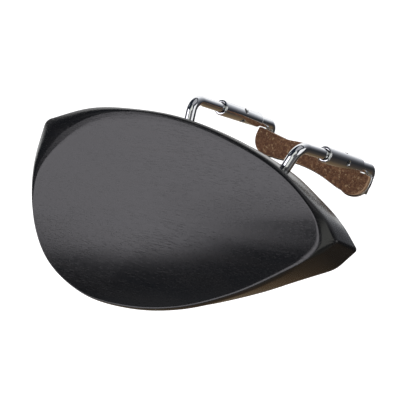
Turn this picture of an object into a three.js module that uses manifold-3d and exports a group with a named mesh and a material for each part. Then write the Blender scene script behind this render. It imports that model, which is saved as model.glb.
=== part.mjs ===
// Violin chinrest: a carved hardwood cup held to the violin's edge by a two-barrel screw clamp.
// Millimetres. The origin lies on the violin's top at its edge, midway between the clamp's legs.
// +X runs along the violin's edge towards the cup's narrow end, +Y points off the violin, +Z is up.

import * as THREE from 'three';
import { mergeVertices } from 'three/addons/utils/BufferGeometryUtils.js';
import Module from 'manifold-3d';

const wasm = await Module();
wasm.setup();

// Wooden cup: overall bowl, its place, and its heights
const cupLength = 113;
const cupWidth = 68.4;
const cupCentreX = -13.1;
const cupEdgeSetback = 0.2;
const woodHeight = 13;
const dishDepth = 5.5;
const floorThickness = 3.9;
const lipWidth = 3.6;
const lipCrestWidth = 1.5;
const lipDrop = 0.8;
const lipCrestDrop = 0.12;
const rimRound = 0.7;
const rimRoundDrop = 1;
const wingReach = 14;
const wingDrop = 3;
const flareReach = 2;
const bottomEdgeRadius = 0.8;
const landWidth = 14;
const reliefRun = 4;

// Cork, and the thin glue line that lies under every glued or brazed piece
const heelCorkThickness = 1.8;
const heelCorkWidth = 11;
const heelCorkInset = 1.4;
const footCorkThickness = 1.6;
const footCorkInset = 0.5;
const glueLine = 0.2;

// Clamp: legs, barrels and posts
const legSpacing = 43.9;
const barrelOffset = 6;
const legSplayDegrees = 11.7;
const legWireRadius = 1.75;
const legDepthInWood = 8;
const legHeightInWood = 6.5;
const legBendRadius = 4.2;
const legDrop = 15.6;
const legHoleClearance = 0.3;
const legHoleExtraDepth = 0.5;
const barrelLength = 23.4;
const barrelRadius = 2.7;
const barrelChamfer = 0.55;
const threadRadius = 2;
const threadClearance = 0.3;
const threadInsertion = 8;
const threadInset = 0.6;
const keyHoleShare = 0.53;
const keyHoleRadius = 0.95;
const leftKeyHoleTurnDegrees = 44;
const rightKeyHoleTurnDegrees = 44;
const postDrop = 10.5;
const postBendRadius = 2.6;
const postReach = 8.6;
const cutOverrun = 2;

// Foot plate: two round lobes joined by a waisted bridge, following the violin's lower edge
const plateThickness = 1.3;
const plateCentreX = 0.6;
const lobeCentreX = 18.4;
const lobeCentreInset = 4.9;
const lobeRadius = 6.4;
const plateEdgeInset = 2.6;
const plateMiddleInset = 0.7;
const bridgeWidth = 8.1;
const waistTurnDegrees = 244;
const bowReachShares = [0.66, 0.33];
const waistReachShares = [0.62, 0.45];

// A cubic curve's handle for a quarter circle, in radii
const quarterArcShare = 4 / 3 * Math.tan(Math.PI / 8);

// Fineness of the round forms
const stepsPerStation = 7;
const rodSides = 14;
const rodStepsPerRadius = 1.7;
const barrelSides = 32;
const outlineSteps = 12;

// Stations round the cup, from the broad end's corner along the violin's edge to the tip and back.
// rim is the bowl's rim from its centre, in half lengths and half widths. ledge is how far the wing
// stands out from the rim, in wing reaches. drop is how far the wing's edge falls, in wing drops.
// flare is how far the bottom edge stands out from the wing's edge, in flare reaches. lift is the
// height of the bottom edge over the heel, in wood heights. The edges break at a corner.
const stationShares = [
  { rim: [-0.9, 0.281], ledge: [-0.94, 0.13], drop: 0.83, flare: [0.4, -0.15], lift: 0.15, corner: true },
  { rim: [-0.715, 0.611], ledge: [-0.36, 0.11], drop: 0.53, flare: [0.1, -0.1], lift: 0.04 },
  { rim: [-0.44, 0.836], ledge: [-0.08, 0.02], drop: 0.17, flare: [0, -0.05], lift: 0 },
  { rim: [-0.122, 0.961], ledge: [0, 0], drop: 0.03, flare: [0, -0.2], lift: 0 },
  { rim: [0.232, 0.99], ledge: [0, 0], drop: 0, flare: [0, -0.15], lift: 0 },
  { rim: [0.586, 0.924], ledge: [0.02, 0], drop: 0, flare: [-0.2, 0.1], lift: 0 },
  { rim: [0.798, 0.783], ledge: [0.05, 0], drop: 0, flare: [-0.4, 0.8], lift: 0 },
  { rim: [0.931, 0.643], ledge: [0.12, 0.05], drop: 0.05, flare: [0.3, 1], lift: 0 },
  { rim: [0.991, 0.507], ledge: [0.38, 0.21], drop: 0.33, flare: [0.8, -0.55], lift: 0, corner: true },
  { rim: [0.991, 0.386], ledge: [0.16, 0.14], drop: 0.23, flare: [0.4, -1.8], lift: 0, corner: true },
  { rim: [0.878, 0.123], ledge: [0, 0], drop: 0.2, flare: [0.15, -0.2], lift: 0.015 },
  { rim: [0.665, -0.237], ledge: [0, 0], drop: 0.2, flare: [0, 0.6], lift: 0.07 },
  { rim: [0.367, -0.608], ledge: [0, 0], drop: 0.3, flare: [-0.2, 0.5], lift: 0.35 },
  { rim: [0.034, -0.866], ledge: [0, 0], drop: 0.35, flare: [0, 0.5], lift: 0.5 },
  { rim: [-0.318, -0.988], ledge: [0, 0], drop: 0.4, flare: [0, 0.55], lift: 0.53 },
  { rim: [-0.663, -0.879], ledge: [0, 0], drop: 0.4, flare: [0.25, 0.5], lift: 0.52 },
  { rim: [-0.897, -0.55], ledge: [-0.07, 0], drop: 0.43, flare: [0.2, 0.3], lift: 0.45 },
  { rim: [-0.992, -0.149], ledge: [-0.34, 0.05], drop: 0.67, flare: [0.3, -0.1], lift: 0.27 },
];
const leftCorkShares = [2.55, 3.5];
const rightCorkShares = [4.5, 5.5];

// Profile of the dish: ring places from the middle to the lip, and how the floor curves up
const dishRingShares = [0.14, 0.3, 0.46, 0.61, 0.75, 0.88, 1];
const dishCurvePower = 1.9;
const rollRingShares = [0.35, 0.7];
const rollCurvePower = 1.4;
const reliefHoldShare = 0.5;
const reliefMiddleHoldShare = 0.12;
const reliefMiddleShare = 0.5;
const landLeastShare = 0.2;
const landLiftShare = 0.5;

// Heights and places that follow from the sizes above
const heelZ = heelCorkThickness + glueLine;
const rimZ = heelZ + woodHeight;
const legZ = heelZ + legHeightInWood;
const underZ = rimZ - lipDrop - dishDepth - floorThickness;
const barrelTopZ = legZ - legDrop;
const barrelBottomZ = barrelTopZ - barrelLength;
const postZ = barrelBottomZ - postDrop;
const boreRadius = threadRadius + threadClearance;
const plateBottomZ = postZ + threadRadius + glueLine;
const footCorkBottomZ = plateBottomZ + plateThickness + glueLine;
const cupCentreY = -cupEdgeSetback - cupWidth / 2;

const wood = new THREE.MeshStandardMaterial({ color: 0x17161a, roughness: 0.35, metalness: 0 });
const chrome = new THREE.MeshStandardMaterial({ color: 0xc9ccd0, roughness: 0.12, metalness: 1 });
const cork = new THREE.MeshStandardMaterial({ color: 0x6e4426, roughness: 0.9, metalness: 0 });

// Solids: a closed geometry to a boolean solid and back

function solidOf(geometry) {
  const bare = geometry.clone();
  bare.deleteAttribute('normal');
  bare.deleteAttribute('uv');
  const merged = mergeVertices(bare);
  const vertProperties = new Float32Array(merged.attributes.position.array);
  const triVerts = new Uint32Array(merged.index.array);
  return new wasm.Manifold(new wasm.Mesh({ numProp: 3, vertProperties, triVerts }));
}

function geometryOf(solid) {
  const { vertProperties, triVerts } = solid.getMesh();
  const geometry = new THREE.BufferGeometry();
  geometry.setAttribute('position', new THREE.BufferAttribute(vertProperties, 3));
  geometry.setIndex(new THREE.BufferAttribute(triVerts, 1));
  geometry.computeVertexNormals();
  return geometry;
}

function part(name, geometry, material) {
  const mesh = new THREE.Mesh(geometry, material);
  mesh.name = name;
  return mesh;
}

// Curves round the cup, each through one point a station

function rimPoint({ rim }) {
  const x = cupCentreX + rim[0] * cupLength / 2;
  const y = cupCentreY + rim[1] * cupWidth / 2;
  return new THREE.Vector3(x, y, rimZ);
}

function outwardAt(index) {
  const count = stationShares.length;
  const before = rimPoint(stationShares[(index + count - 1) % count]);
  const after = rimPoint(stationShares[(index + 1) % count]);
  const along = after.sub(before).normalize();
  return new THREE.Vector3(-along.y, along.x, 0);
}

function shoulderPoint(index) {
  const { ledge, drop } = stationShares[index];
  const reach = new THREE.Vector3(ledge[0], ledge[1], 0).multiplyScalar(wingReach);
  const point = rimPoint(stationShares[index]).add(reach);
  point.addScaledVector(outwardAt(index), rimRound);
  point.z -= rimRoundDrop + wingDrop * drop;
  return point;
}

function bottomPoint(index) {
  const { flare, lift } = stationShares[index];
  const reach = new THREE.Vector3(flare[0], flare[1], 0).multiplyScalar(flareReach);
  const point = shoulderPoint(index).add(reach);
  point.z = heelZ + lift * woodHeight;
  return point;
}

// The rim is one smooth loop. The wing's edges run smoothly between the heel's sharp corners.
const stationCount = stationShares.length;
const rimLoop = new THREE.CatmullRomCurve3(stationShares.map(rimPoint), true, 'centripetal');

function corneredLoop(pointAt) {
  const corners = [...stationShares.keys()].filter((index) => stationShares[index].corner);
  corners.push(stationCount);
  const stretches = corners.slice(1).map((end, i) => {
    const start = corners[i];
    const points = [];
    for (let s = start; s <= end; s += 1) points.push(pointAt(s % stationCount));
    return { start, end, curve: new THREE.CatmullRomCurve3(points, false, 'centripetal') };
  });
  return (station) => {
    const { start, end, curve } = stretches.find((stretch) => station < stretch.end);
    return curve.getPoint((station - start) / (end - start));
  };
}

const rimAt = (station) => rimLoop.getPoint(station / stationCount);
const shoulderAt = corneredLoop(shoulderPoint);
const bottomAt = corneredLoop(bottomPoint);
const cupCentre = new THREE.Vector3(cupCentreX, cupCentreY, 0);

function movedInward(point, distance) {
  const inward = cupCentre.clone().sub(point).setZ(0).normalize();
  return point.clone().addScaledVector(inward, distance);
}

function between(from, to, share, height) {
  return from.clone().lerp(to, share).setZ(height);
}

// Every ring of the cup at one station, from the dish's floor over the rim and round underneath
function cupRings(station) {
  const rim = rimAt(station);
  const shoulder = shoulderAt(station);
  const bottom = bottomAt(station);
  const lip = movedInward(rim, lipWidth).setZ(rimZ - lipDrop);
  const rings = dishRingShares.map((share) => {
    const height = lip.z - dishDepth * (1 - share ** dishCurvePower);
    return between(cupCentre, lip, share, height);
  });
  rings.push(movedInward(rim, lipCrestWidth).setZ(rimZ - lipCrestDrop));
  rings.push(rim);
  rollRingShares.forEach((share) => {
    const height = rimZ - (rimZ - shoulder.z) * share ** rollCurvePower;
    rings.push(between(rim, shoulder, share, height));
  });
  rings.push(shoulder);
  rings.push(bottom.clone().setZ(bottom.z + bottomEdgeRadius));
  rings.push(movedInward(bottom, bottomEdgeRadius));
  const lift = (bottom.z - heelZ) / woodHeight;
  const land = landWidth * Math.max(1 - lift / landLiftShare, landLeastShare);
  rings.push(movedInward(bottom, land));
  const raised = Math.max(bottom.z - underZ, 0);
  const relief = movedInward(bottom, land + reliefRun).setZ(underZ + raised * reliefHoldShare);
  rings.push(relief);
  const middleHeight = underZ + raised * reliefMiddleHoldShare;
  rings.push(between(cupCentre, relief, reliefMiddleShare, middleHeight));
  return rings;
}

function cupGeometry() {
  const stations = stationCount * stepsPerStation;
  const top = cupCentre.clone().setZ(rimZ - lipDrop - dishDepth);
  const floor = cupCentre.clone().setZ(underZ);
  const positions = [...top.toArray()];
  let ringCount = 0;
  for (let s = 0; s < stations; s += 1) {
    const rings = cupRings(s / stepsPerStation);
    ringCount = rings.length;
    rings.forEach((point) => positions.push(...point.toArray()));
  }
  positions.push(...floor.toArray());
  const at = (s, ring) => 1 + (s % stations) * ringCount + ring;
  const last = 1 + stations * ringCount;
  const index = [];
  for (let s = 0; s < stations; s += 1) {
    index.push(0, at(s + 1, 0), at(s, 0));
    for (let ring = 0; ring < ringCount - 1; ring += 1) {
      index.push(at(s, ring), at(s + 1, ring), at(s + 1, ring + 1));
      index.push(at(s, ring), at(s + 1, ring + 1), at(s, ring + 1));
    }
    index.push(last, at(s, ringCount - 1), at(s + 1, ringCount - 1));
  }
  const geometry = new THREE.BufferGeometry();
  geometry.setAttribute('position', new THREE.Float32BufferAttribute(positions, 3));
  geometry.setIndex(index);
  return geometry;
}

// Clamp legs: the splay leans each leg's inner end towards the middle of the heel
const sides = { left: -1, right: 1 };

function legPlaces(side) {
  const corner = new THREE.Vector3(side * legSpacing / 2, barrelOffset, legZ);
  const splay = THREE.MathUtils.degToRad(legSplayDegrees);
  const inward = new THREE.Vector3(-side * Math.sin(splay), -Math.cos(splay), 0);
  const buried = (barrelOffset + cupEdgeSetback + legDepthInWood) / Math.cos(splay);
  const root = corner.clone().addScaledVector(inward, buried);
  return { corner, inward, root };
}

function rodGeometry(start, corner, end, bendRadius, radius) {
  const towardsStart = start.clone().sub(corner).normalize();
  const towardsEnd = end.clone().sub(corner).normalize();
  const bendStart = corner.clone().addScaledVector(towardsStart, bendRadius);
  const bendEnd = corner.clone().addScaledVector(towardsEnd, bendRadius);
  const pull = bendRadius * (1 - quarterArcShare);
  const path = new THREE.CurvePath();
  path.add(new THREE.LineCurve3(start, bendStart));
  path.add(new THREE.CubicBezierCurve3(
    bendStart,
    corner.clone().addScaledVector(towardsStart, pull),
    corner.clone().addScaledVector(towardsEnd, pull),
    bendEnd,
  ));
  path.add(new THREE.LineCurve3(bendEnd, end));
  const section = new THREE.Shape();
  section.absarc(0, 0, radius, 0, Math.PI * 2);
  const steps = Math.round(path.getLength() / radius * rodStepsPerRadius);
  const settings = { steps, extrudePath: path, curveSegments: rodSides };
  return new THREE.ExtrudeGeometry(section, settings);
}

function uprightCylinder(radius, length, sideCount, x, y, middleZ) {
  const geometry = new THREE.CylinderGeometry(radius, radius, length, sideCount);
  geometry.rotateX(Math.PI / 2);
  geometry.translate(x, y, middleZ);
  return geometry;
}

function legHole(side) {
  const { corner, inward } = legPlaces(side);
  const radius = legWireRadius + legHoleClearance;
  const inner = (barrelOffset + cupEdgeSetback + legDepthInWood) / -inward.y + legHoleExtraDepth;
  const outer = barrelOffset - cutOverrun;
  const geometry = new THREE.CylinderGeometry(radius, radius, inner - outer, rodSides * 2);
  const turn = new THREE.Quaternion();
  turn.setFromUnitVectors(new THREE.Vector3(0, 1, 0), inward);
  geometry.applyQuaternion(turn);
  const middle = corner.clone().addScaledVector(inward, (inner + outer) / 2);
  geometry.translate(middle.x, middle.y, middle.z);
  return solidOf(geometry);
}

function cup() {
  const drilled = Object.values(sides).reduce(
    (solid, side) => solid.subtract(legHole(side)),
    solidOf(cupGeometry()),
  );
  return part('cup', geometryOf(drilled), wood);
}

// Cork strips under the heel, one below each leg, following the heel's edge
function heelCork(name, [from, to]) {
  const outer = [];
  const inner = [];
  for (let i = 0; i <= outlineSteps; i += 1) {
    const edge = bottomAt(from + (to - from) * i / outlineSteps);
    outer.push(new THREE.Vector2(edge.x, edge.y - heelCorkInset));
    inner.unshift(new THREE.Vector2(edge.x, edge.y - heelCorkInset - heelCorkWidth));
  }
  const outline = new THREE.Shape([...outer, ...inner]);
  const settings = { depth: heelCorkThickness, bevelEnabled: false };
  return part(name, new THREE.ExtrudeGeometry(outline, settings), cork);
}

// Upper legs: plain wire from the wood to the barrel, with a rolled thread inside the barrel
function upperLeg(name, side) {
  const { corner, root } = legPlaces(side);
  const end = corner.clone().setZ(barrelTopZ - threadInsertion);
  const wire = solidOf(rodGeometry(root, corner, end, legBendRadius, legWireRadius));
  const threadLength = threadInsertion - threadInset;
  const thread = solidOf(uprightCylinder(
    threadRadius,
    threadLength,
    rodSides * 2,
    corner.x,
    corner.y,
    end.z + threadLength / 2,
  ));
  return part(name, geometryOf(wire.add(thread)), chrome);
}

// Barrels: tubes with a chamfer at each end and two crossed key holes near half length
function barrel(name, side, keyHoleTurnDegrees) {
  const top = barrelLength * keyHoleShare;
  const bottom = top - barrelLength;
  const profile = [
    [boreRadius, bottom],
    [barrelRadius - barrelChamfer, bottom],
    [barrelRadius, bottom + barrelChamfer],
    [barrelRadius, top - barrelChamfer],
    [barrelRadius - barrelChamfer, top],
    [boreRadius, top],
    [boreRadius, bottom],
  ].map(([x, y]) => new THREE.Vector2(x, y));
  const tube = new THREE.LatheGeometry(profile, barrelSides);
  tube.rotateY(Math.PI / barrelSides);
  tube.rotateX(Math.PI / 2);
  const across = new THREE.CylinderGeometry(
    keyHoleRadius,
    keyHoleRadius,
    2 * (barrelRadius + cutOverrun),
    rodSides,
  );
  const along = across.clone().rotateZ(Math.PI / 2);
  const drilled = solidOf(tube).subtract(solidOf(across)).subtract(solidOf(along));
  const mesh = part(name, geometryOf(drilled), chrome);
  mesh.position.set(side * legSpacing / 2, barrelOffset, barrelTopZ - top);
  mesh.rotation.z = THREE.MathUtils.degToRad(keyHoleTurnDegrees);
  return mesh;
}

// Foot posts: down out of the barrels, then bent in below the foot plate that is brazed to them
function footPost(name, side) {
  const top = new THREE.Vector3(side * legSpacing / 2, barrelOffset, barrelBottomZ + threadInsertion);
  const corner = top.clone().setZ(postZ);
  const inner = corner.clone().setY(barrelOffset - postReach);
  return part(name, rodGeometry(top, corner, inner, postBendRadius, threadRadius), chrome);
}

// Foot outline: the outer edge bows between the posts, round lobes, and a waist on the inner side
function footOutline(inset) {
  const outerY = barrelOffset - plateEdgeInset - inset;
  const middleY = barrelOffset - plateMiddleInset - inset;
  const waistY = barrelOffset - plateMiddleInset - bridgeWidth + inset;
  const lobeY = barrelOffset - lobeCentreInset;
  const radius = lobeRadius - inset;
  const rise = Math.asin((outerY - lobeY) / radius);
  const waistTurn = THREE.MathUtils.degToRad(waistTurnDegrees);
  const waistX = lobeCentreX + radius * Math.cos(waistTurn);
  const waistStartY = lobeY + radius * Math.sin(waistTurn);
  const [bowX, bowPullX] = bowReachShares.map((share) => share * lobeCentreX);
  const [lobePullX, waistPullX] = waistReachShares.map((share) => share * lobeCentreX);
  const outline = new THREE.Shape();
  outline.moveTo(-bowX, outerY);
  outline.quadraticCurveTo(-bowPullX, middleY, 0, middleY);
  outline.quadraticCurveTo(bowPullX, middleY, bowX, outerY);
  outline.absarc(lobeCentreX, lobeY, radius, rise, waistTurn - Math.PI * 2, true);
  outline.bezierCurveTo(lobePullX, waistStartY, waistPullX, waistY, 0, waistY);
  outline.bezierCurveTo(-waistPullX, waistY, -lobePullX, waistStartY, -waistX, waistStartY);
  outline.absarc(-lobeCentreX, lobeY, radius, Math.PI - waistTurn, Math.PI - rise, true);
  outline.closePath();
  return outline;
}

function footLayer(name, bottomZ, thickness, inset, material) {
  const settings = { depth: thickness, bevelEnabled: false, curveSegments: outlineSteps };
  const geometry = new THREE.ExtrudeGeometry(footOutline(inset), settings);
  const mesh = part(name, geometry, material);
  mesh.position.set(plateCentreX, 0, bottomZ);
  return mesh;
}

// The whole chinrest: the rest with its legs, the two barrels, and the foot that they draw up
const rest = new THREE.Group();
rest.add(cup());
rest.add(heelCork('heel_cork_left', leftCorkShares));
rest.add(heelCork('heel_cork_right', rightCorkShares));
rest.add(upperLeg('upper_leg_left', sides.left));
rest.add(upperLeg('upper_leg_right', sides.right));

const foot = new THREE.Group();
foot.add(footPost('foot_post_left', sides.left));
foot.add(footPost('foot_post_right', sides.right));
foot.add(footLayer('foot_plate', plateBottomZ, plateThickness, 0, chrome));
foot.add(footLayer('foot_cork', footCorkBottomZ, footCorkThickness, footCorkInset, cork));

const chinrest = new THREE.Group();
chinrest.add(rest);
chinrest.add(barrel('barrel_left', sides.left, leftKeyHoleTurnDegrees));
chinrest.add(barrel('barrel_right', sides.right, rightKeyHoleTurnDegrees));
chinrest.add(foot);

export default chinrest;
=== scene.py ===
# %% [markdown]
# # A violin chinrest in Blender
# A chinrest is a carved hardwood cup that a chromed screw clamp holds to the violin's edge. The
# measured model comes first and stays as it is: it says where every piece lies and how the clamp
# moves. On top of it, each piece gets the finer shape and the finish that a camera sees.

# %% Load the measured model
import math

import bpy
import numpy as np
from mathutils import Matrix, Vector


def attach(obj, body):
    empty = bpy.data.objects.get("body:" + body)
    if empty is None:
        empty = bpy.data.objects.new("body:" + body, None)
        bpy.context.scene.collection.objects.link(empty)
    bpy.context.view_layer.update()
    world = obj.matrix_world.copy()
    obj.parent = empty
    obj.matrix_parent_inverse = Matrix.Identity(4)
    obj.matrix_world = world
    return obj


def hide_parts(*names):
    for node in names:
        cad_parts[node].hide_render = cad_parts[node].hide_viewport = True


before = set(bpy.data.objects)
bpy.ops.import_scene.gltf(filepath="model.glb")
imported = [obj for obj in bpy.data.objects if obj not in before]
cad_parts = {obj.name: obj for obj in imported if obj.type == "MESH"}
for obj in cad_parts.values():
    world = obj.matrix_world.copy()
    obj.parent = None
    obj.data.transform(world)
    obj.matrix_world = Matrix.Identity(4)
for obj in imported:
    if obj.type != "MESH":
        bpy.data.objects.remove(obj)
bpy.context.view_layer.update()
bpy.ops.object.select_all(action="DESELECT")
mm = 0.001
print("nodes", sorted(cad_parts))

# %% [markdown]
# ## The camera
# The photographer looked down on the dish from the tip's side with a long lens, with the camera
# turned on its side. Three angles, a distance and a point to look at say that in full. A camera
# looks along its own -Z, so its three axes are worked out from the angles and set as a matrix.

# %% Camera
azimuth, elevation, roll = math.radians(103.54), math.radians(54.54), math.radians(-78.6)
camera_distance, lens_length, film_width, nearest_seen = 343.97, 95.75, 36, 10
looked_at = Vector((-3.16, -23.1, 8.5)) * mm
to_camera = Vector((
    math.sin(azimuth) * math.cos(elevation),
    -math.cos(azimuth) * math.cos(elevation),
    math.sin(elevation),
))
level_right = Vector((0, 0, 1)).cross(to_camera).normalized()
level_up = to_camera.cross(level_right)
right = level_right * math.cos(roll) + level_up * math.sin(roll)
up = level_up * math.cos(roll) - level_right * math.sin(roll)

bpy.ops.object.camera_add()
camera = bpy.context.object
camera.name = "photo_camera"
camera.data.lens = lens_length
camera.data.sensor_width = film_width
camera.data.clip_start = nearest_seen * mm
turn = Matrix((right, up, to_camera)).transposed().to_4x4()
camera.matrix_world = Matrix.Translation(looked_at + to_camera * camera_distance * mm) @ turn
bpy.context.scene.camera = camera
print("camera at", [round(value / mm) for value in camera.matrix_world.translation])

# %% [markdown]
# ## Finishes
# Each finish is a small tree of nodes. All patterns read Object coordinates. A Mapping node of the
# Texture type divides them by a size along each direction, so that one unit of noise is one grain
# of that size, and it can turn the grain about the vertical. Sizes are in millimetres.

# %% Helpers for node trees
def new_finish(name):
    finish = bpy.data.materials.new(name)
    finish.use_nodes = True
    tree = finish.node_tree
    shader = next(node for node in tree.nodes if node.type == "BSDF_PRINCIPLED")
    return finish, tree, shader


def add_node(tree, kind, **settings):
    node = tree.nodes.new(kind)
    for name, value in settings.items():
        if hasattr(node, name):
            setattr(node, name, value)
        else:
            node.inputs[name.replace("_", " ").title()].default_value = value
    return node


def mapped(tree, sizes, turn_degrees=0):
    place = add_node(tree, "ShaderNodeTexCoord")
    mapping = add_node(tree, "ShaderNodeMapping", vector_type="TEXTURE")
    mapping.inputs["Rotation"].default_value[2] = math.radians(turn_degrees)
    mapping.inputs["Scale"].default_value = [size * mm for size in sizes]
    tree.links.new(place.outputs["Object"], mapping.inputs["Vector"])
    return mapping.outputs["Vector"]


def noise(tree, sizes, turn_degrees=0, **settings):
    vector = mapped(tree, sizes, turn_degrees)
    node = add_node(tree, "ShaderNodeTexNoise", scale=1.0, **settings)
    tree.links.new(vector, node.inputs["Vector"])
    return node.outputs["Fac"]


# %% Helpers for colours and relief
def ramp(tree, value, *stops):
    node = add_node(tree, "ShaderNodeValToRGB")
    elements = node.color_ramp.elements
    while len(elements) < len(stops):
        elements.new(0.5)
    for element, (position, color) in zip(elements, stops):
        element.position = position
        element.color = (*color, 1) if isinstance(color, tuple) else (color, color, color, 1)
    tree.links.new(value, node.inputs["Fac"])
    return node.outputs["Color"]


def mixed(tree, share, first, second, blend="MIX"):
    node = add_node(tree, "ShaderNodeMix", data_type="RGBA", blend_type=blend)
    share_socket, first_socket, second_socket = (node.inputs[number] for number in (0, 6, 7))
    for socket, value in ((share_socket, share), (first_socket, first), (second_socket, second)):
        if isinstance(value, (int, float)):
            socket.default_value = value if socket == share_socket else (value, value, value, 1)
        elif isinstance(value, tuple):
            socket.default_value = (*value, 1)
        else:
            tree.links.new(value, socket)
    return node.outputs[2]


def bumped(tree, shader, height, depth, strength):
    node = add_node(tree, "ShaderNodeBump", distance=depth * mm, strength=strength)
    tree.links.new(height, node.inputs["Height"])
    tree.links.new(node.outputs["Normal"], shader.inputs["Normal"])


# %% [markdown]
# ### Polished black hardwood
# The wood is nearly black, with a trace of brown in its grain, and its shine is a satin one. What
# gives it away as wood is its pores: fine dark dashes up to a few millimetres long, all along the
# grain. Noise that is squeezed across the grain gives such dashes, and a ramp keeps only its peaks.

# %% Black hardwood
hardwood, tree, shader = new_finish("black_hardwood")
grain_turn = 14
pore_noise = noise(tree, (3.2, 0.26, 0.26), grain_turn)
clusters = noise(tree, (26, 7, 7), grain_turn)
pores = ramp(tree, mixed(tree, 0.2, pore_noise, clusters), (0.53, 0.0), (0.65, 1.0))
streaks = noise(tree, (14, 0.32, 0.32), grain_turn, detail=3.0, roughness=0.6)
bands = noise(tree, (90, 6, 6), grain_turn, detail=4.0, roughness=0.6, distortion=0.4)
body_color = ramp(tree, bands, (0.3, (0.0040, 0.0044, 0.0054)), (0.75, (0.0070, 0.0062, 0.0062)))
wood_color = mixed(tree, pores, body_color, (0.003, 0.003, 0.003))
tree.links.new(wood_color, shader.inputs["Base Color"])
band_roughness = ramp(tree, bands, (0.2, 0.16), (0.8, 0.24))
streak_roughness = ramp(tree, streaks, (0.3, 0.14), (0.7, 0.32))
satin = mixed(tree, 0.5, band_roughness, streak_roughness)
tree.links.new(mixed(tree, pores, satin, 0.30), shader.inputs["Roughness"])
shader.inputs["IOR"].default_value = 1.6
pore_relief = mixed(tree, 0.3, ramp(tree, pores, (0.0, 1.0), (1.0, 0.0)), streaks)
bumped(tree, shader, pore_relief, 0.03, 0.25)
print("hardwood nodes", len(tree.nodes))

# %% [markdown]
# ### Chrome
# Chrome shows little of its own. It mirrors what is round it, so its finish only needs a very low
# roughness, a slight waviness from polishing, and here and there a faint cloud of fine scratches.

# %% Chrome
chrome, tree, shader = new_finish("bright_chrome")
shader.inputs["Metallic"].default_value = 1.0
shader.inputs["Base Color"].default_value = (0.80, 0.81, 0.83, 1)
scratch_clouds = noise(tree, (4, 4, 4), detail=5.0, roughness=0.6)
tree.links.new(ramp(tree, scratch_clouds, (0.35, 0.05), (0.75, 0.16)), shader.inputs["Roughness"])
bumped(tree, shader, noise(tree, (1.4, 1.4, 1.4)), 0.04, 0.35)
print("chrome nodes", len(tree.nodes))

# %% [markdown]
# ### Cork
# Cork here is pressed granules. Voronoi cells stand for the granules, each with its own brown, and
# the distance to a cell's border gives the dark glue between them. A little noise bends the
# coordinates first, so that the cells aren't straight-sided. Both are counted per metre, so their
# Mapping node divides by a whole metre. Small pale flecks lie on top. Faces that don't look up are
# mixed with a paler brown: a painted highlight for the side edge of the cork that the lamps catch.

# %% Cork granules
cork, tree, shader = new_finish("pressed_cork")
shader.inputs["Roughness"].default_value = 0.82
granules_per_metre, wobbles_per_metre, wobble_share = 1700.0, 900.0, 0.0006
in_metres = mapped(tree, (1000, 1000, 1000))
wobble = add_node(tree, "ShaderNodeTexNoise", scale=wobbles_per_metre, detail=2.0)
tree.links.new(in_metres, wobble.inputs["Vector"])
bent = mixed(tree, wobble_share, in_metres, wobble.outputs["Color"], "LINEAR_LIGHT")
granules = add_node(tree, "ShaderNodeTexVoronoi", scale=granules_per_metre)
tree.links.new(bent, granules.inputs["Vector"])
borders = add_node(
    tree, "ShaderNodeTexVoronoi", feature="DISTANCE_TO_EDGE", scale=granules_per_metre
)
tree.links.new(bent, borders.inputs["Vector"])
split = add_node(tree, "ShaderNodeSeparateColor")
tree.links.new(granules.outputs["Color"], split.inputs["Color"])
print("granules of", round(1 / granules_per_metre / mm, 2), "mm")

# %% Cork colours and relief
brown = ramp(
    tree,
    split.outputs["Red"],
    (0.0, (0.138, 0.054, 0.025)),
    (0.45, (0.215, 0.095, 0.044)),
    (0.85, (0.29, 0.14, 0.066)),
    (1.0, (0.44, 0.28, 0.15)),
)
glue = ramp(tree, borders.outputs["Distance"], (0.0, 1.0), (0.09, 0.0))
fleck_noise = noise(tree, (0.3, 0.3, 0.3), detail=1.0)
flecks = ramp(tree, fleck_noise, (0.70, 0.0), (0.76, 1.0))
cork_color = mixed(tree, glue, brown, (0.085, 0.034, 0.018))
cork_color = mixed(tree, flecks, cork_color, (0.62, 0.45, 0.30))
face_direction = add_node(tree, "ShaderNodeSeparateXYZ")
face_normal = add_node(tree, "ShaderNodeTexCoord").outputs["Normal"]
tree.links.new(face_normal, face_direction.inputs["Vector"])
# Painted light: faces that don't look up get a paler brown, a painted highlight for the cork's lit
# side edge
painted_side_light = ramp(tree, face_direction.outputs["Z"], (0.2, 0.5), (0.9, 0.0))
cork_color = mixed(tree, painted_side_light, cork_color, (0.56, 0.36, 0.20))
tree.links.new(cork_color, shader.inputs["Base Color"])
granule_relief = ramp(tree, borders.outputs["Distance"], (0.0, 0.0), (0.2, 1.0))
bumped(tree, shader, mixed(tree, 0.5, granule_relief, fleck_noise), 0.25, 0.6)
print("cork nodes", len(tree.nodes))

# %% [markdown]
# ## The cup
# No chain of extrudes gives a carved bowl whose rim, wing edges and underside each follow a curve
# of their own. The carver works by stations round the rim, and so does this piece: eighteen
# stations hold the numbers, smooth curves join them, and at every step round the cup a profile
# runs from the dish's middle over the rim and back under the wood. A plain grid has just the
# right faces for that: its columns go round the cup and its rows go along the profile.

# %% The cup's measures, in millimetres
cup_length, cup_width = 113, 68.4
cup_centre = np.array([-13.1, -0.2 - cup_width / 2, 0.0])
heel_height, wood_height = 2.0, 13.0
rim_height = heel_height + wood_height
lip_drop, dish_depth, floor_thickness = 0.8, 5.5, 3.9
dish_bottom = rim_height - lip_drop - dish_depth
under_height = dish_bottom - floor_thickness
print("rim at", rim_height, "dish down to", round(dish_bottom, 2), "underside", round(under_height, 2))

# %% [markdown]
# The stations start at the broad end's corner and go along the clamp's side to the tip, which has
# two corners, and back along the thin edge. A rim point is a share of half the cup's length and
# width. The ledge says how far the wood's top edge stands out from the rim there, and the drop how
# far it lies below it. The flare says how far the wall's foot stands out from that top edge. These
# three are counted in units of their own, so that the table holds small plain numbers. The lift
# says how high the wall's foot lies, as a share of the wood's height.

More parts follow.
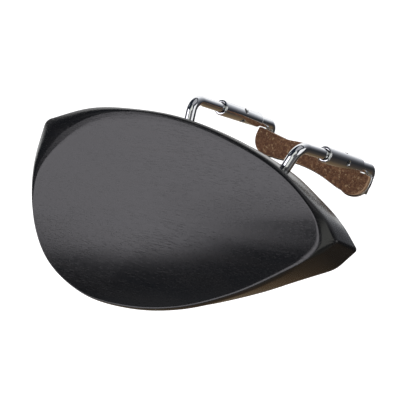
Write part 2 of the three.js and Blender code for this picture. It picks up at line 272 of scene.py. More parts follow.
# %% Stations round the rim
station_shares = [
    # rim x, rim y, ledge x, ledge y, drop, flare x, flare y, lift
    (-0.9, 0.281, -0.94, 0.13, 0.83, 0.4, -0.15, 0.15),
    (-0.715, 0.611, -0.36, 0.11, 0.53, 0.1, -0.1, 0.04),
    (-0.44, 0.836, -0.08, 0.02, 0.17, 0, -0.05, 0),
    (-0.122, 0.961, 0, 0, 0.03, 0, -0.2, 0),
    (0.232, 0.99, 0, 0, 0, 0, -0.15, 0),
    (0.590, 0.937, 0.02, 0, 0, -0.31, -0.12, 0),
    (0.815, 0.822, 0.04, -0.017, 0, -0.8, 0.25, 0),
    (0.959, 0.684, 0.105, 0.06, 0.05, -0.4, 0.2, 0),
    (1.025, 0.528, 0.241, 0.158, 0.33, 0.8, -0.55, 0),
    (1.004, 0.380, 0.108, 0.155, 0.23, 0.4, -1.8, 0),
    (0.878, 0.123, 0, 0, 0.2, 0.15, -0.2, 0.015),
    (0.665, -0.237, 0, 0, 0.2, 0, 0.6, 0.07),
    (0.367, -0.608, 0, 0, 0.3, -0.2, 0.5, 0.35),
    (0.034, -0.866, 0, 0, 0.35, 0, 0.5, 0.5),
    (-0.318, -0.988, 0, 0, 0.4, 0, 0.55, 0.53),
    (-0.663, -0.879, 0, 0, 0.4, 0.25, 0.5, 0.52),
    (-0.897, -0.55, -0.07, 0, 0.43, 0.2, 0.3, 0.45),
    (-0.992, -0.149, -0.34, 0.05, 0.67, 0.3, -0.1, 0.27),
]
count = len(station_shares)
broad_corner, clamp_tip_corner, thin_tip_corner = 0, 8, 9
print("stations", count, "with corners at", (broad_corner, clamp_tip_corner, thin_tip_corner))

# %% Rim, top edge and wall's foot at each station
ledge_unit, drop_unit, flare_unit = 14, 3, 2
rim_to_wall, least_drop = 0.7, 1
rims = [
    cup_centre + (x * cup_length / 2, y * cup_width / 2, rim_height)
    for x, y, *_ in station_shares
]
shoulders, bottoms = [], []
for number, station in enumerate(station_shares):
    ledge_x, ledge_y, drop, flare_x, flare_y, lift = station[2:]
    ahead = rims[(number + 1) % count] - rims[number - 1]
    outward = np.array([-ahead[1], ahead[0], 0]) / np.hypot(*ahead[:2])
    shoulder = rims[number] + ledge_unit * np.array([ledge_x, ledge_y, 0]) + rim_to_wall * outward
    shoulder[2] = rim_height - least_drop - drop_unit * drop
    bottom = shoulder + flare_unit * np.array([flare_x, flare_y, 0])
    bottom[2] = heel_height + lift * wood_height
    shoulders.append(shoulder)
    bottoms.append(bottom)
print("tip at", np.round(bottoms[clamp_tip_corner], 1))
print("broad corner at", np.round(shoulders[broad_corner], 1))

# %% [markdown]
# How the wood was sanded changes round the cup too. The rim band is the width of the rim's smooth
# crown, the rim drop is how far its outer line lies below the crest, and the two eases are how far
# the rim's line and the top edge are rounded, all in millimetres. A roll power of 1 is a straight
# fall from the rim to the top edge, and more keeps it flat for longer. The tuck is 1 where the wall
# draws in toward its foot.

# %% Finish of the rim and the wall at each station
sanding = np.array([
    # rim band, rim drop, rim ease, roll power, ledge ease, tuck
    (3.4, 0.02, 1.4, 2.3, 0.6, 0),
    (3.2, 0.03, 1.5, 2.1, 0.6, 0),
    (2.8, 0.06, 1.2, 2.0, 0.6, 0.3),
    (2.2, 0.10, 0.9, 1.4, 0.6, 0.8),
    (1.9, 0.10, 0.8, 1.4, 0.7, 1),
    (1.5, 0.12, 0.9, 1.4, 0.9, 1),
    (1.1, 0.15, 0.8, 1.4, 0.9, 1),
    (0.8, 0.12, 0.6, 1.2, 1.0, 1),
    (1.5, 0.10, 0.35, 1.2, 0.8, 0),
    (2.1, 0.10, 0.3, 1.3, 0.8, 0),
    (1.1, 0.08, 0.3, 1.4, 0.55, 0),
    (0.65, 0.05, 0.3, 1.4, 0.55, 0),
    (0.45, 0.04, 0.3, 1.4, 0.5, 0),
    (0.5, 0.04, 0.3, 1.4, 0.5, 0),
    (0.3, 0.03, 0.3, 1.4, 0.5, 0),
    (0.2, 0.03, 0.3, 1.4, 0.5, 0),
    (0.2, 0.03, 0.4, 1.4, 0.5, 0),
    (1.6, 0.03, 1.4, 2.1, 0.5, 0),
])


def sanding_at(place):
    return [np.interp(place, range(count + 1), [*column, column[0]]) for column in sanding.T]


print("rim band from", sanding[:, 0].min(), "to", sanding[:, 0].max())

# %% [markdown]
# A Catmull-Rom curve passes through all its points. The rim is one closed curve. The edges of the
# wings and of the base break at the broad corner and at the two corners of the tip, where the
# curve takes a small turn instead of a smooth sweep, because a carver eases such corners.

# %% Curves through the stations
edge_runs = (
    (broad_corner, clamp_tip_corner), (clamp_tip_corner, thin_tip_corner), (thin_tip_corner, count)
)


def curve_piece(before, start, end, after, share):
    gaps = [np.sum((b - a) ** 2) ** 0.25 for a, b in ((before, start), (start, end), (end, after))]
    leave = (start - before) / gaps[0] - (end - before) / (gaps[0] + gaps[1])
    leave = (leave + (end - start) / gaps[1]) * gaps[1]
    arrive = (end - start) / gaps[1] - (after - start) / (gaps[1] + gaps[2])
    arrive = (arrive + (after - end) / gaps[2]) * gaps[1]
    square, cube = share ** 2, share ** 3
    return (
        start * (1 - 3 * square + 2 * cube)
        + end * (3 * square - 2 * cube)
        + leave * (share - 2 * square + cube)
        + arrive * (cube - square)
    )


def round_loop(points, place):
    first, share = int(place) % count, place - int(place)
    ring = [points[(first + step) % count] for step in (-1, 0, 1, 2)]
    return curve_piece(*ring, share)


def cornered_loop(points, place):
    place %= count
    for low, high in edge_runs:
        if place < high:
            break
    run = [points[step % count] for step in range(low, high + 1)]
    run = [2 * run[0] - run[1], *run, 2 * run[-1] - run[-2]]
    first = min(int(place - low), high - low - 1)
    return curve_piece(*run[first:first + 4], place - low - first)


print("rim halfway to the second station", np.round(round_loop(rims, 0.5), 1))

# %% Eased corners, and the steps round the cup
corner_reaches = {broad_corner: 0.13, clamp_tip_corner: 0.12, thin_tip_corner: 0.25, count: 0.13}
steps_per_station, steps_per_reach, place_digits = 14, 4, 4


def eased_loop(points, place):
    for corner, reach in corner_reaches.items():
        share = (place - corner + reach) / (2 * reach)
        if 0 <= share <= 1:
            before, middle, after = (
                cornered_loop(points, corner + side * reach) for side in (-1, 0, 1)
            )
            return before * (1 - share) ** 2 + 2 * middle * share * (1 - share) + after * share ** 2
    return cornered_loop(points, place)


places = set(np.round(np.arange(0, count, 1 / steps_per_station), place_digits))
for corner, reach in corner_reaches.items():
    for step in range(-steps_per_reach, steps_per_reach + 1):
        places.add(round((corner + reach * step / steps_per_reach) % count, place_digits))
places = sorted(places)
print("steps round the cup", len(places))

# %% [markdown]
# The profile is written as a few points, with close points at every edge. Cutting the corners of
# that line twice rounds each edge by a few tenths of a millimetre, as sandpaper does. A point that
# is set near another never goes past a set share of the way, so short lines keep their order.

# %% Small steps along a profile
most_share, most_before_share, most_after_share, corner_share = 0.4, 0.5, 0.7, 0.4
corner_cuts, cut_share = 2, 0.25


def toward(point, target, distance):
    step = (target - point) * (1, 1, 0)
    return point + step / np.linalg.norm(step) * distance


def near(point, target, distance, most=most_share):
    step = target - point
    return point + step * min(distance / np.linalg.norm(step), most)


def rounded(before, corner, after, distance):
    first = near(corner, before, distance, most_before_share)
    last = near(corner, after, distance, most_after_share)
    return [first, corner * corner_share + (first + last) * (1 - corner_share) / 2, last]


def at_height(point, height):
    return np.array([point[0], point[1], height])


def softened(line):
    for _ in range(corner_cuts):
        cut_line = [line[0]]
        for start, end in zip(line, line[1:]):
            cut_line.append(start * (1 - cut_share) + end * cut_share)
            cut_line.append(start * cut_share + end * (1 - cut_share))
        line = cut_line + [line[-1]]
    return line


square_edge = [np.array(corner) for corner in ((0.0, 0.0), (1.0, 0.0), (1.0, 1.0))]
print("a square edge becomes", [point.round(2).tolist() for point in softened(square_edge)])

# %% [markdown]
# The dish rises from its middle as a power of the way out to its edge. A short straight reach of
# the slope that it has there leads on to the rim's crown, so that no crease shows where the two
# meet. The dish's points crowd a little toward its edge, because the rim's small faces follow.

# %% From the dish's middle up to the rim
dish_power, dish_points, crowding = 1.9, 34, 1.3
crown_slope = 0.06
shortest_reach, reach_per_band = 0.3, 0.4


def dish_side(rim, band):
    crest = at_height(toward(rim, cup_centre, band / 2), rim_height)
    edge = at_height(toward(rim, cup_centre, band), rim_height - crown_slope * band)
    slope = dish_power * (edge[2] - dish_bottom) / np.hypot(*(edge - cup_centre)[:2])
    reach = shortest_reach + reach_per_band * band
    dish_edge = at_height(toward(rim, cup_centre, band + reach), edge[2] - reach * slope)
    dish = []
    for share in 1 - np.linspace(1, 0, dish_points)[1:-1] ** crowding:
        spot = cup_centre + (dish_edge - cup_centre) * share
        height = dish_bottom + (dish_edge[2] - dish_bottom) * share ** dish_power
        dish.append(at_height(spot, height))
    return dish, [dish_edge, edge, crest]


print("points across the dish", len(dish_side(rims[0], sanding[0, 0])[0]))

# %% [markdown]
# Under the wood, a flat land runs along the foot of the wall, widest where the cup rests on the
# violin and narrow where the wood is lifted clear of it. Past the land the underside runs to one
# even height below the dish: up into a hollow from the heel, and down from the thin edge.

# %% From the wall's foot to the middle of the underside
wall_ease, widest_land, hollow_run = 0.8, 14, 4
narrowest_land_share, hollow_edge_share, hollow_middle_share = 0.2, 0.5, 0.12
land_softness, hollow_softness = 1.5, 3


def underside(bottom):
    sole = toward(bottom, cup_centre, wall_ease)
    lift = (bottom[2] - heel_height) / wood_height
    land = widest_land * max(1 - 2 * lift, narrowest_land_share)
    raised = max(bottom[2] - under_height, 0)
    land_end = toward(bottom, cup_centre, land)
    hollow_height = under_height + hollow_edge_share * raised
    hollow = at_height(toward(bottom, cup_centre, land + hollow_run), hollow_height)
    middle = at_height((cup_centre + hollow) / 2, under_height + hollow_middle_share * raised)
    return [
        sole,
        near(land_end, sole, land_softness),
        near(land_end, hollow, land_softness),
        near(hollow, land_end, land_softness),
        near(hollow, middle, hollow_softness),
        middle,
        at_height((cup_centre + middle) / 2, under_height),
    ]


print("points under the wood", len(underside(bottoms[0])))

# %% [markdown]
# The whole profile joins these: the dish, the crown, the roll from the rim out to the top edge, the
# wall down to its foot with its slight belly, and the underside. Only the dish and the two middles
# are kept as they are, and all the rest is softened.

# %% The whole profile
roll_shares, wall_shares = (0.12, 0.35, 0.62), (0.2, 0.4, 0.6, 0.8)
tuck_depth, wall_belly, glance = 0.8, 1.15, 0.02


def cup_profile(place):
    band, rim_drop, rim_ease, roll_power, ledge_ease, tuck = sanding_at(place)
    rim = round_loop(rims, place) - (0, 0, rim_drop)
    shoulder = eased_loop(shoulders, place)
    bottom = eased_loop(bottoms, place)
    ahead = eased_loop(bottoms, place + glance) - eased_loop(bottoms, place - glance)
    outward = np.array([-ahead[1], ahead[0], 0]) / np.hypot(*ahead[:2]) * tuck
    bottom = bottom - tuck_depth * outward
    wall_foot = at_height(bottom, bottom[2] + wall_ease)
    dish, brim = dish_side(rim, band)
    roll = [
        rim + (shoulder - rim) * (share, share, share ** roll_power) for share in roll_shares
    ]
    wall = [
        shoulder + (wall_foot - shoulder) * share + outward * (wall_belly * share * (1 - share))
        for share in wall_shares
    ]
    line = softened([
        dish[-1],
        *brim,
        *rounded(brim[-1], rim, roll[0], rim_ease),
        *roll,
        *rounded(roll[-1], shoulder, wall[0], ledge_ease),
        *wall,
        wall_foot,
        bottom,
        *underside(bottom),
    ])
    dish_middle = at_height(cup_centre, dish_bottom)
    under_middle = at_height(cup_centre, under_height)
    return [dish_middle, *dish[:-1], *line, under_middle]


profiles = np.array([cup_profile(place) for place in places])
profiles = np.concatenate([profiles, profiles[:1]])
print("profiles and points in each", profiles.shape[:2])

# %% [markdown]
# The grid gets one column for each profile and one row for each of its points, and then every
# point of it only has to be moved to its place. The first profile comes again at the end, and all
# profiles share their first and their last point. Merging those doubles closes the skin. Last come
# two steps that most pieces go through: all faces are turned outward, and smooth shading is set
# so that it breaks at real edges.

# %% Helpers for meshes
merge_gap = 0.001 * mm


def select_only(piece):
    bpy.ops.object.select_all(action="DESELECT")
    piece.select_set(True)
    bpy.context.view_layer.objects.active = piece


def edit_all(piece):
    select_only(piece)
    bpy.ops.object.mode_set(mode="EDIT")
    bpy.ops.mesh.select_all(action="SELECT")


def tidy_faces(piece, angle=35):
    edit_all(piece)
    bpy.ops.mesh.normals_make_consistent(inside=False)
    bpy.ops.mesh.select_all(action="DESELECT")
    bpy.ops.object.mode_set(mode="OBJECT")
    bpy.ops.object.shade_smooth_by_angle(angle=math.radians(angle))


# %% Lay a grid on the profiles
columns, rows = profiles.shape[:2]
bpy.ops.object.select_all(action="DESELECT")
bpy.ops.mesh.primitive_grid_add(x_subdivisions=columns - 1, y_subdivisions=rows - 1, size=1)
cup = bpy.context.object
cup.name = "carved_cup"
spots = np.swapaxes(profiles, 0, 1).reshape(-1, 3) * mm
print("grid points", len(cup.data.vertices), "profile points", len(spots))
cup.data.vertices.foreach_set("co", spots.ravel())
edit_all(cup)
bpy.ops.mesh.remove_doubles(threshold=merge_gap / 2)
bpy.ops.object.mode_set(mode="OBJECT")
tidy_faces(cup)
print("points after merging", len(cup.data.vertices))

# %% [markdown]
# Two blind holes take the clamp's legs. A cylinder is laid in each hole's place and cut away. The
# legs enter the wood at a slant, toward each other. A finished piece then gets its material and is
# hung on the empty of the body that it rides on, and the measured piece that it stands for is
# hidden.

# %% Helpers for cutting and seating
def cut(piece, cutter):
    select_only(piece)
    bpy.ops.object.modifier_add(type="BOOLEAN")
    drill = piece.modifiers[-1]
    drill.operation = "DIFFERENCE"
    drill.solver = "EXACT"
    drill.object = cutter
    bpy.ops.object.modifier_apply(modifier=drill.name)
    bpy.data.objects.remove(cutter)


def seat(piece, finish, body, node):
    piece.data.materials.clear()
    piece.data.materials.append(finish)
    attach(piece, body)
    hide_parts(node)
    triangles = sum(len(face.vertices) - 2 for face in piece.data.polygons)
    print(piece.name, "rides on", body, "with", triangles, "triangles")


# %% Leg holes
leg_height, leg_spacing, leg_offset = 8.5, 43.9, 6.0
splay = math.radians(11.7)
hole_radius, hole_start, hole_end = 2.05, 4, 15


def leg_line(side):
    corner = Vector((side * leg_spacing / 2, leg_offset, leg_height))
    inward = Vector((-side * math.sin(splay), -math.cos(splay), 0))
    return corner, inward


for side in (-1, 1):
    corner, inward = leg_line(side)
    bpy.ops.object.select_all(action="DESELECT")
    bpy.ops.mesh.primitive_cylinder_add(
        vertices=48,
        radius=hole_radius * mm,
        depth=(hole_end - hole_start) * mm,
        location=(corner + inward * (hole_start + hole_end) / 2) * mm,
        rotation=inward.to_track_quat("Z", "Y").to_euler(),
    )
    cut(cup, bpy.context.object)
tidy_faces(cup, 32)
seat(cup, hardwood, "rest", "cup")

# %% [markdown]
# ## Bent rods
# The upper legs and the foot's posts are wire, bent once. A curve with a round bevel is the
# simplest tube there is: four points give a straight, a quarter turn and a straight, and the two
# handles inside the bend have the length that makes a quarter circle. The curve becomes a mesh, and
# a Bevel modifier breaks the sharp edges of its cut ends. The legs slant opposite ways, so each is
# bent in its own place, along the line of its hole. The posts are alike, so one is bent over the
# origin and copied to both places, each copy with its own mesh.

# %% Helpers for bent rods
def break_edges(piece, width, segments, least_angle):
    select_only(piece)
    bpy.ops.object.modifier_add(type="BEVEL")
    bevel = piece.modifiers[-1]
    bevel.width = width * mm
    bevel.segments = segments
    bevel.angle_limit = math.radians(least_angle)
    bpy.ops.object.modifier_apply(modifier=bevel.name)


def bent_rod(name, start, corner, end, bend, radius, grip=0.1):
    start, corner, end = Vector(start), Vector(corner), Vector(end)
    to_start, to_end = (start - corner).normalized(), (end - corner).normalized()
    bend_start, bend_end = corner + to_start * bend, corner + to_end * bend
    pull = bend * (1 - 4 / 3 * math.tan(math.pi / 8))
    bpy.ops.object.select_all(action="DESELECT")
    bpy.ops.curve.primitive_bezier_curve_add(location=(0, 0, 0))
    rod = bpy.context.object
    rod.name = name
    points = rod.data.splines[0].bezier_points
    points.add(2)
    handles = [
        (start, start + to_start * grip, start - to_start * grip),
        (bend_start, bend_start + to_start * grip, corner + to_start * pull),
        (bend_end, corner + to_end * pull, bend_end + to_end * grip),
        (end, end - to_end * grip, end + to_end * grip),
    ]
    for point, (spot, before, after) in zip(points, handles):
        point.handle_left_type = point.handle_right_type = "FREE"
        point.co, point.handle_left, point.handle_right = spot * mm, before * mm, after * mm
    rod.data.dimensions = "3D"
    rod.data.resolution_u = 20
    rod.data.bevel_depth = radius * mm
    rod.data.bevel_resolution = 10
    rod.data.use_fill_caps = True
    select_only(rod)
    bpy.ops.object.convert(target="MESH")
    edit_all(rod)
    bpy.ops.mesh.remove_doubles(threshold=merge_gap)
    bpy.ops.object.mode_set(mode="OBJECT")
    break_edges(rod, width=0.25, segments=3, least_angle=60)
    tidy_faces(rod)
    return rod


# %% Helper for placed copies
def placed_copy(model, name, side, height=0, turn=0):
    copy = bpy.data.objects.new(name, model.data.copy())
    bpy.context.scene.collection.objects.link(copy)
    copy.rotation_euler = (0, 0, turn)
    copy.location = Vector((side * leg_spacing / 2, leg_offset, height)) * mm
    select_only(copy)
    bpy.ops.object.transform_apply(location=True, rotation=True, scale=True)
    return copy


# %% Legs and posts
leg_radius, leg_bend, leg_in_wood = 1.75, 4.2, 8.2
post_radius, post_bend, post_under_plate = 1.85, 2.6, 8.6
leg_drop, post_drop, thread_length = 15.6, 10.5, 8
barrel_length = 23.4
barrel_top = leg_height - leg_drop
barrel_bottom = barrel_top - barrel_length
foot_height = barrel_bottom - post_drop
post_model = bent_rod(
    "post_model",
    (0, 0, barrel_bottom + thread_length),
    (0, 0, foot_height),
    (0, -post_under_plate, foot_height),
    post_bend,
    post_radius,
)
for side, word in ((-1, "left"), (1, "right")):
    corner, inward = leg_line(side)
    root = corner + inward * (leg_offset + leg_in_wood) / math.cos(splay)
    leg_end = (corner.x, leg_offset, barrel_top - thread_length)
    leg = bent_rod("leg_" + word, root, corner, leg_end, leg_bend, leg_radius)
    seat(leg, chrome, "rest", "upper_leg_" + word)
    post = placed_copy(post_model, "post_" + word, side)
    seat(post, chrome, "foot", "foot_post_" + word)
bpy.data.objects.remove(post_model)

# %% [markdown]
# ## Barrels
# A barrel is turned from bar: a tube with chamfered ends and two crossed holes that take the
# tightening key. It is a cylinder with its end edges beveled, bored through, then drilled from
# four sides, with a shallow cone at each mouth for the countersink. It is modelled once at the
# origin, and each of the two is a copy that is turned and moved to its place. A barrel can stop at
# any angle, and each stands turned here as the photo shows it.

# %% One barrel
barrel_radius, bore_radius, end_chamfer, bore_overrun = 2.7, 1.95, 0.4, 3.3
key_height_share, key_radius, key_depth, key_middle = 0.53, 0.85, 2, 2.6
mouth_inner, mouth_outer, mouth_depth, mouth_middle = 0.8, 1.4, 0.6, 2.62
print("key holes", round((key_height_share - 0.5) * barrel_length, 2), "mm below the barrel's middle")


def select_ends(tube):
    select_only(tube)
    bpy.ops.object.mode_set(mode="EDIT")
    bpy.ops.mesh.select_mode(type="FACE")
    bpy.ops.mesh.select_all(action="DESELECT")
    bpy.ops.object.mode_set(mode="OBJECT")
    for face in tube.data.polygons:
        face.select = abs(face.normal.z) > 0.9
    bpy.ops.object.mode_set(mode="EDIT")


def turned_barrel():
    bpy.ops.object.select_all(action="DESELECT")
    bpy.ops.mesh.primitive_cylinder_add(
        vertices=96, radius=barrel_radius * mm, depth=barrel_length * mm
    )
    tube = bpy.context.object
    select_ends(tube)
    bpy.ops.mesh.region_to_loop()
    bpy.ops.mesh.bevel(offset=end_chamfer * mm, segments=4, affect="EDGES")
    bpy.ops.object.mode_set(mode="OBJECT")
    bpy.ops.mesh.primitive_cylinder_add(
        vertices=96, radius=bore_radius * mm, depth=(barrel_length + 2 * bore_overrun) * mm
    )
    cut(tube, bpy.context.object)
    spot = Vector((0, 0, (key_height_share - 0.5) * -barrel_length * mm))
    for quarter in range(4):
        angle = math.radians(90 * quarter)
        out = Vector((math.cos(angle), math.sin(angle), 0))
        aim = out.to_track_quat("Z", "Y").to_euler()
        bpy.ops.mesh.primitive_cylinder_add(
            vertices=40,
            radius=key_radius * mm,
            depth=key_depth * mm,
            location=spot + out * key_middle * mm,
            rotation=aim,
        )
        cut(tube, bpy.context.object)
        bpy.ops.mesh.primitive_cone_add(
            vertices=40,
            radius1=mouth_inner * mm,
            radius2=mouth_outer * mm,
            depth=mouth_depth * mm,
            location=spot + out * mouth_middle * mm,
            rotation=aim,
        )
        cut(tube, bpy.context.object)
    return tube


# %% Both barrels
barrel_model = turned_barrel()
barrel_middle = barrel_top - barrel_length / 2
for side, word, turn_degrees in ((-1, "left", 44), (1, "right", -3)):
    barrel = placed_copy(
        barrel_model, "turned_barrel_" + word, side, barrel_middle, math.radians(turn_degrees)
    )
    tidy_faces(barrel, 30)
    seat(barrel, chrome, word + "_barrel", "barrel_" + word)
bpy.data.objects.remove(barrel_model)

# %% [markdown]
# ## Foot plate and cork pads
# These are flat blanks with a cut outline, and the measured model already has that outline. A copy
# of its mesh is merged, its flat faces are dissolved into one, and a bevel breaks the edges: a
# small round one on the polished plate, and a soft one on cork. The foot in the photo reaches a
# little further back toward the posts than the measured one, most of all at its two round lobes,
# so the points along that edge are moved back by up to a millimetre.

# %% Flat blanks with broken edges
def eased_copy(name, node, width, segments):
    blank = bpy.data.objects.new(name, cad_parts[node].data.copy())
    bpy.context.scene.collection.objects.link(blank)
    edit_all(blank)
    bpy.ops.mesh.remove_doubles(threshold=merge_gap)
    bpy.ops.mesh.dissolve_limited(angle_limit=math.radians(1))
    bpy.ops.object.mode_set(mode="OBJECT")
    break_edges(blank, width, segments, least_angle=50)
    tidy_faces(blank)
    return blank


back_edge_start, back_edge_run = 0.5, 2
foot_middle, lobe_start, lobe_run = 0.6, 10, 4


def reach_back(blank, everywhere, at_lobes):
    for vertex in blank.data.vertices:
        back = min(1, max(0, vertex.co.y / mm - back_edge_start) / back_edge_run)
        lobe = min(1, max(0, abs(vertex.co.x / mm - foot_middle) - lobe_start) / lobe_run)
        vertex.co.y += mm * back * (everywhere + at_lobes * lobe)


# %% Plate and corks
plate = eased_copy("plate", "foot_plate", width=0.3, segments=4)
reach_back(plate, everywhere=0, at_lobes=0.5)
seat(plate, chrome, "foot", "foot_plate")
pad = eased_copy("foot_pad", "foot_cork", width=0.4, segments=4)
reach_back(pad, everywhere=0.35, at_lobes=0.6)
seat(pad, cork, "foot", "foot_cork")
for word in ("left", "right"):
    pad = eased_copy("heel_pad_" + word, "heel_cork_" + word, width=0.2, segments=3)
    seat(pad, cork, "rest", "heel_cork_" + word)

# %% [markdown]
# ## Studio
# The floor is pale and plain. Where the camera, a mirror or glass looks at it, a little light of
# its own lifts it to white, and it still takes the object's shadow. The room round it is a plain
# white world, a little dimmer for the light that it gives than for the eye. All lengths of the
# studio are in metres.

# %% Floor
def seen_directly(tree):
    paths = add_node(tree, "ShaderNodeLightPath")
    seen = paths.outputs["Is Camera Ray"]
    for other_ray in ("Is Glossy Ray", "Is Transmission Ray"):
        either = add_node(tree, "ShaderNodeMath", operation="MAXIMUM")
        tree.links.new(seen, either.inputs[0])
        tree.links.new(paths.outputs[other_ray], either.inputs[1])
        seen = either.outputs[0]
    return seen


floor_size, floor_height, floor_glow = 12, -0.16, 0.4
bpy.context.scene.view_settings.view_transform = "Standard"
bpy.ops.object.select_all(action="DESELECT")
bpy.ops.mesh.primitive_plane_add(size=floor_size, location=(0, 0, floor_height))
floor = bpy.context.object
floor.name = "studio_floor"
floor_finish, tree, shader = new_finish("pale_floor")
shader.inputs["Base Color"].default_value = (0.86, 0.86, 0.86, 1)
shader.inputs["Roughness"].default_value = 0.9
shader.inputs["Specular IOR Level"].default_value = 0.0
glow = add_node(tree, "ShaderNodeMath", operation="MULTIPLY")
glow.inputs[1].default_value = floor_glow
tree.links.new(seen_directly(tree), glow.inputs[0])
shader.inputs["Emission Color"].default_value = (1, 1, 1, 1)
tree.links.new(glow.outputs[0], shader.inputs["Emission Strength"])
floor.data.materials.append(floor_finish)
print("floor", floor.name, "at", floor_height)

# %% World
world = bpy.data.worlds.new("soft_room")
bpy.context.scene.world = world
world.use_nodes = True
tree = world.node_tree
background = next(node for node in tree.nodes if node.type == "BACKGROUND")
background.inputs["Color"].default_value = (1, 1, 1, 1)
level = add_node(tree, "ShaderNodeMapRange", to_min=0.8, to_max=1.0)
tree.links.new(seen_directly(tree), level.inputs["Value"])
tree.links.new(level.outputs["Result"], background.inputs["Strength"])
print("world", world.name, "with", len(tree.nodes), "nodes")

# %% [markdown]
# Gloss needs something to mirror. One large softbox stands behind the dish and gives the wood its
# grey sheen, and a black flag in front of it keeps the sheen off the dish's low side. A dark tent
# shuts out the room, and cards of grey, white and olive stand for the things near the object.
# Only reflections see the flag, the tent and the cards, so they cast no shadow and hide nothing.

# %% Softbox
def direction(azimuth_degrees, elevation_degrees):
    azimuth_angle, elevation_angle = math.radians(azimuth_degrees), math.radians(elevation_degrees)
    return Vector((
        math.cos(azimuth_angle) * math.cos(elevation_angle),
        math.sin(azimuth_angle) * math.cos(elevation_angle),
        math.sin(elevation_angle),
    ))


middle = Vector((-0.013, -0.034, 0.01))
aim = direction(207, 50)
across = Vector((0, 0, 1)).cross(aim).normalized()
upward = aim.cross(across)
box_width, box_height, box_level, box_lean = 0.74, 0.72, 2.05, math.radians(-14.5)
box_distance, box_across_share, box_upward_share = 0.8, 0.11, 0.08

bpy.ops.object.light_add(type="AREA")
softbox = bpy.context.object
softbox.name = "softbox"
softbox.data.shape = "RECTANGLE"
softbox.data.size, softbox.data.size_y = box_width, box_height
softbox.data.color = (0.97, 0.94, 1.0)
softbox.data.energy = box_level * math.pi * box_width * box_height
box_across = across * math.cos(box_lean) + upward * math.sin(box_lean)
box_upward = upward * math.cos(box_lean) - across * math.sin(box_lean)
box_turn = Matrix((box_across, box_upward, aim)).transposed().to_4x4()
box_ray = aim + across * box_across_share + upward * box_upward_share
softbox.matrix_world = Matrix.Translation(middle + box_ray * box_distance) @ box_turn
print("softbox at", [round(value, 2) for value in softbox.matrix_world.translation])

# %% [markdown]
# A card's corners are given as they are seen from the dish, each by its azimuth and elevation in
# degrees, because those decide where its reflection falls. The corners are carried out to a flat
# sheet that faces the dish from one direction, at one distance. A cloth gives off its colour and
# takes no light, so it looks the same from every side.

# %% Black cloth and cards
def cloth(name, color):
    finish, tree, shader = new_finish(name)
    shader.inputs["Base Color"].default_value = (0, 0, 0, 1)
    shader.inputs["Specular IOR Level"].default_value = 0.0
    shader.inputs["Emission Color"].default_value = (*color, 1)
    shader.inputs["Emission Strength"].default_value = 1.0
    return finish


def only_in_mirrors(sheet, finish):
    sheet.data.materials.append(finish)
    sheet.visible_camera = False
    sheet.visible_diffuse = False
    sheet.visible_shadow = False
    sheet.visible_transmission = False


def card(name, color, facing, distance, *corners):
    bpy.ops.object.select_all(action="DESELECT")
    bpy.ops.mesh.primitive_circle_add(vertices=len(corners), radius=1, fill_type="NGON")
    sheet = bpy.context.object
    sheet.name = name
    for vertex, corner in zip(sheet.data.vertices, corners):
        ray = direction(*corner)
        vertex.co = middle + ray * (distance / ray.dot(facing))
    only_in_mirrors(sheet, cloth(name + "_card", color))


# %% Tent, flag and the cards
tent_radius, tent_height = 1.6, -0.1
cloth_black = (0.016, 0.022, 0.032)
bpy.ops.object.select_all(action="DESELECT")
bpy.ops.mesh.primitive_uv_sphere_add(
    segments=48, ring_count=24, radius=tent_radius, location=(0, 0, tent_height)
)
tent = bpy.context.object
tent.name = "cloth_tent"
only_in_mirrors(tent, cloth("black_cloth", cloth_black))

card(
    "flag", cloth_black, aim, 0.79,
    (163.7, 39.8), (176.4, 43.1), (203.7, 46.2), (208.6, 43.4), (212, 38.6), (212.7, 31.1),
    (178, 25), (168, 25),
)
card("grey", (0.26, 0.27, 0.29), aim, 0.6, (150, 42), (160, 40), (168, 31), (169, 24), (150, 24))
card(
    "front", (0.80, 0.81, 0.76), direction(15, 60), 0.65,
    (-62, 28), (-64, 50), (-50, 72), (72, 82), (74, 62), (76, 42), (20, 34),
)
card(
    "photographer", (0.11, 0.11, 0.115), direction(10, 30), 0.55,
    (-38, 8), (-34, 34), (0, 46), (6, 62), (27, 60), (27, 18), (8, 17), (-26, -6),
)
card(
    "back", (0.40, 0.40, 0.42), direction(88, 22), 0.5,
    (58, 2), (58, 30), (66, 44), (100, 44), (112, 2),
)
card(
    "table", (1.05, 1.05, 1.05), direction(30, -15), 0.45,
    (4, -44), (4, 17), (42, 17), (42, -42),
)
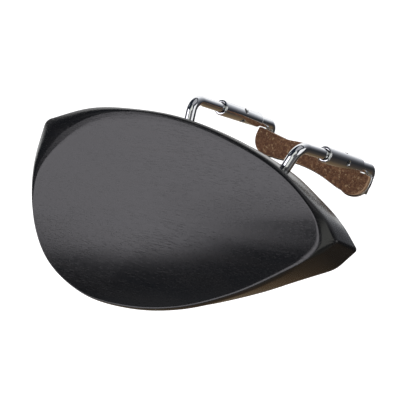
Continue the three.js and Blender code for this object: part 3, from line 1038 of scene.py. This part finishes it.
card(
    "table_side", (0.25, 0.24, 0.22), direction(-22, -20), 0.45,
    (-48, -44), (-44, -4), (4, -4), (4, -44),
)
card(
    "olive_side", (0.16, 0.16, 0.12), direction(-50, -8), 0.5,
    (-64, -46), (-64, 28), (-36, 28), (-36, -46),
)
card(
    "far_side", (0.28, 0.24, 0.20), direction(-85, -12), 0.5,
    (-112, -24), (-112, 4), (-56, 4), (-56, -24),
)

# %% [markdown]
# The chrome of the clamp mirrors the table round it, so a painted disc lies on the floor: white
# behind the clamp, blue-black in front of it and wooden brown under the dish's thin side. A radial
# gradient texture tells how far round the disc a point lies, and a ramp turns that into a colour.

# %% Table disc
disc_radius, disc_height = 1.4, -0.15
white, blue_black = (1.1, 1.1, 1.1), (0.024, 0.026, 0.030)
paint_by_degrees = (
    (-164, white),
    (-150, (0.42, 0.36, 0.28)),
    (-136, (0.33, 0.27, 0.19)),
    (-120, (0.23, 0.18, 0.12)),
    (-90, (0.18, 0.12, 0.07)),
    (-60, (0.13, 0.095, 0.06)),
    (-30, (0.06, 0.05, 0.042)),
    (15, blue_black),
    (35, (0.06, 0.062, 0.068)),
    (50, (0.15, 0.155, 0.17)),
    (68, (0.35, 0.36, 0.39)),
    (85, (0.62, 0.64, 0.67)),
    (103, white),
)
bpy.ops.object.select_all(action="DESELECT")
bpy.ops.mesh.primitive_circle_add(
    vertices=180, radius=disc_radius, fill_type="TRIFAN", location=(0, 0, disc_height)
)
disc = bpy.context.object
disc.name = "table_disc"
disc_finish = cloth("table_paint", (1, 1, 1))
tree = disc_finish.node_tree
shader = next(node for node in tree.nodes if node.type == "BSDF_PRINCIPLED")
disc_place = add_node(tree, "ShaderNodeTexCoord")
around = add_node(tree, "ShaderNodeTexGradient", gradient_type="RADIAL")
tree.links.new(disc_place.outputs["Object"], around.inputs["Vector"])
stops = [((degrees + 180) / 360, color) for degrees, color in paint_by_degrees]
tree.links.new(ramp(tree, around.outputs["Fac"], *stops), shader.inputs["Emission Color"])
only_in_mirrors(disc, disc_finish)
print("colours round the disc", len(stops))
